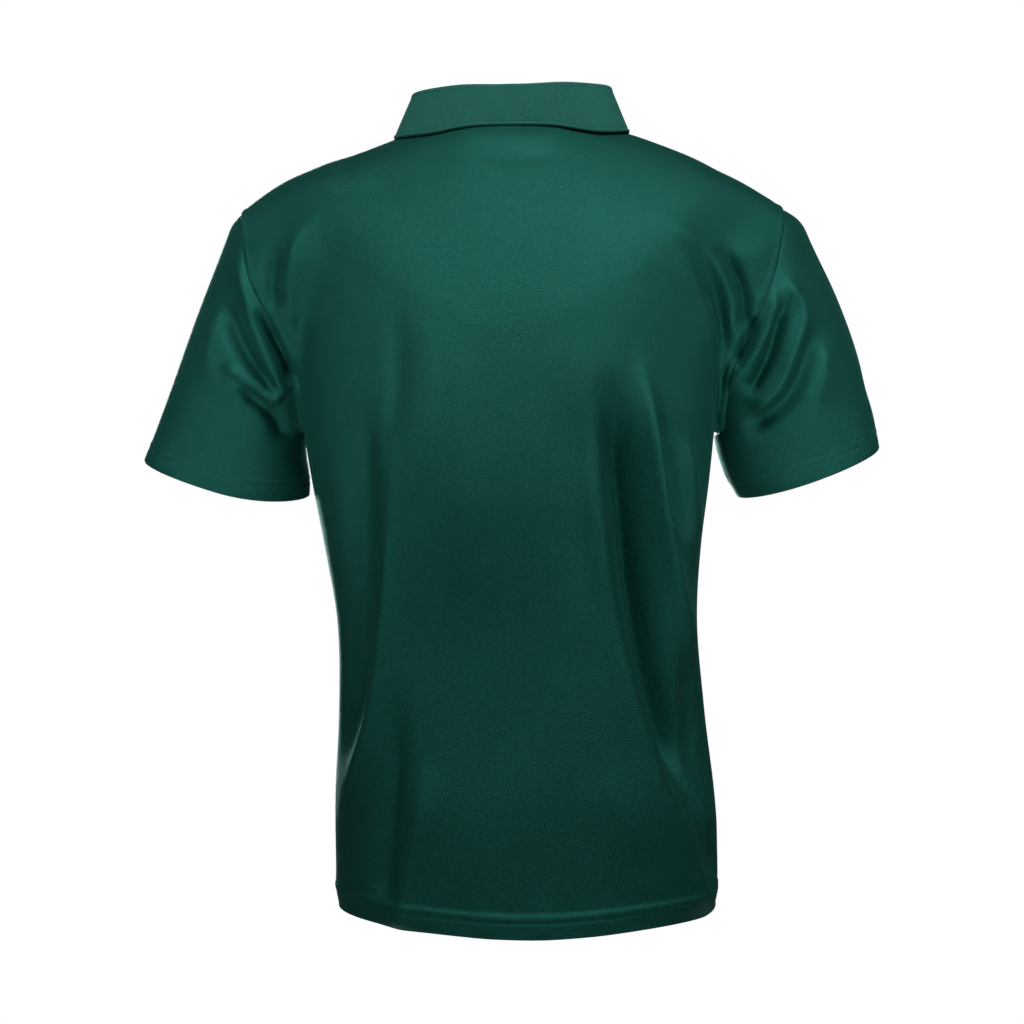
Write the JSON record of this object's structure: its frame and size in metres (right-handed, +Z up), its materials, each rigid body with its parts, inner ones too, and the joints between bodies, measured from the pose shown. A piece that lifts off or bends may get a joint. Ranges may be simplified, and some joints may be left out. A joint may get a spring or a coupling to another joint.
{
  "type": "polo shirt",
  "caption": "Short-sleeved polo shirt of smooth knit with a flat-knit collar and a buttoned front opening, filled out as worn and hollow.",
  "frame": {"origin": "middle of the neck, level with the neck ends of the shoulder seams, where the shirt hangs on the wearer's shoulders", "axes": "+Z up, the front faces -Y, +X to the wearer's left"},
  "size_m": [0.6619, 0.2559, 0.7499],
  "materials": {
    "knit": "smooth fine knit with a soft sheen, dark green",
    "collar_knit": "fine flat-knit rib, matt dark green",
    "button": "smooth moulded plastic in the shirt's green"
  },
  "bodies": {
    "root": {"back": "knit", "front": "knit", "sleeve_left": "knit", "sleeve_right": "knit", "collar": "collar_knit", "placket_under": "knit", "placket_top": "knit", "button_1": "button", "button_2": "button", "button_3": "button"}
  },
  "joints": []
}
